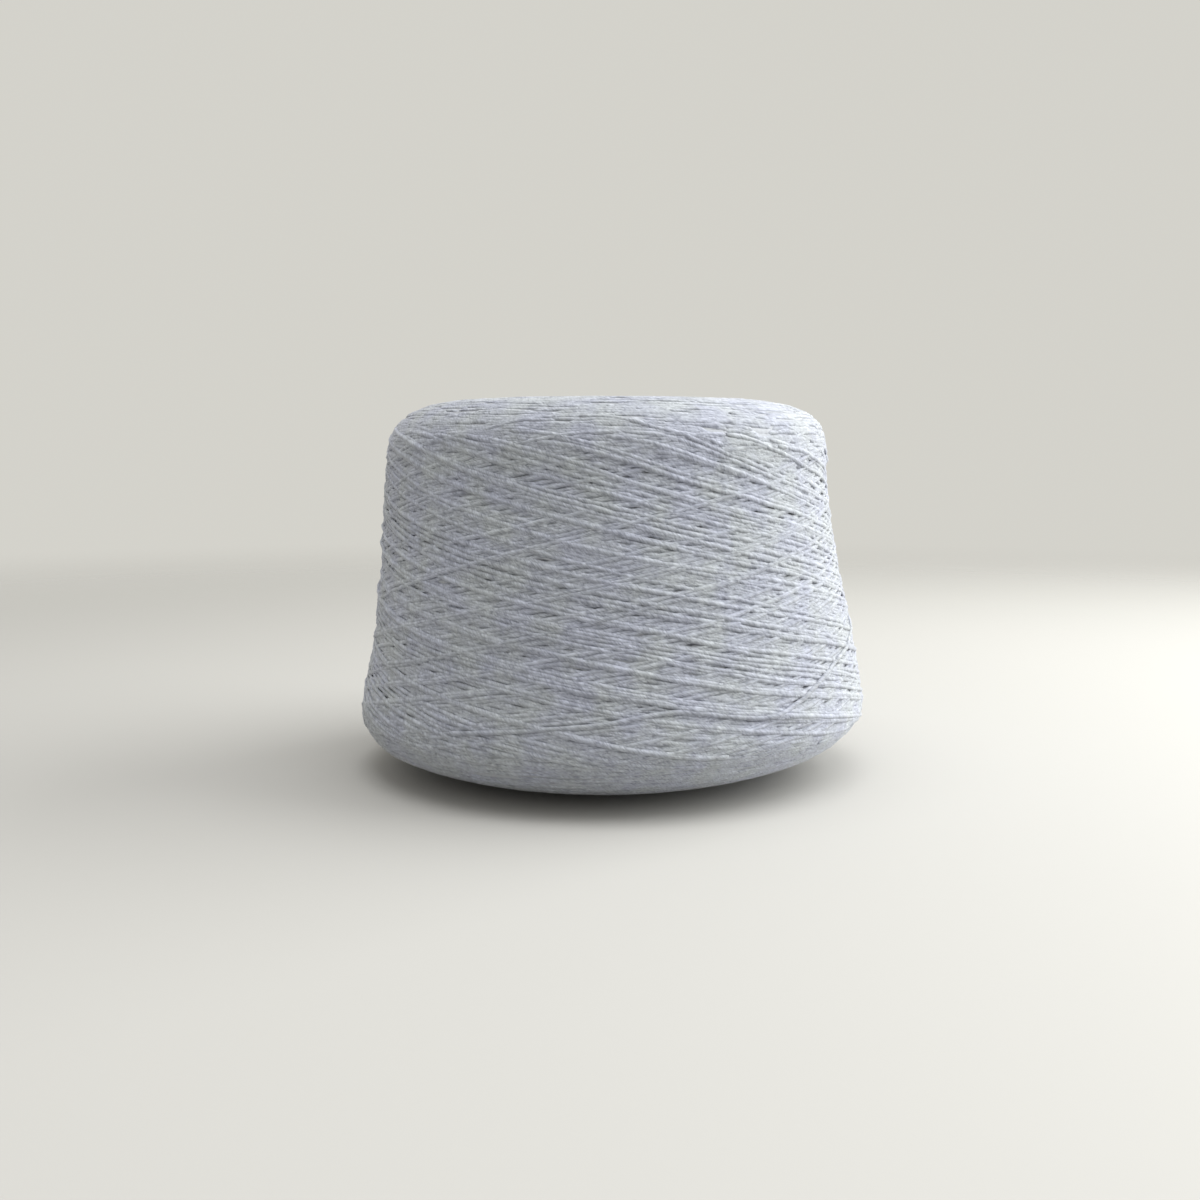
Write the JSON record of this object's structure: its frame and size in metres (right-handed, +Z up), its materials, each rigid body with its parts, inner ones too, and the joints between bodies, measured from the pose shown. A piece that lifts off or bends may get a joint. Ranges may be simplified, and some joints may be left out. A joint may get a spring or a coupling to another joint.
{
  "type": "cone of yarn",
  "caption": "Cross-wound cone of yarn with slightly hollow flanks, a rounded belly, a soft shoulder and a tapered bore.",
  "frame": {"origin": "middle of the package's outer box, on the surface that it rests on", "axes": "+Z up along the bore, from the wide base to the narrow end; -Y is the front; the flat ring at Z = 0 rests on the surface"},
  "size_m": [0.2138, 0.2152, 0.154],
  "materials": {
    "yarn": "matte, softly hairy light grey melange yarn, wound in crossing turns"
  },
  "bodies": {
    "root": {"wound_yarn": "yarn"}
  },
  "joints": []
}
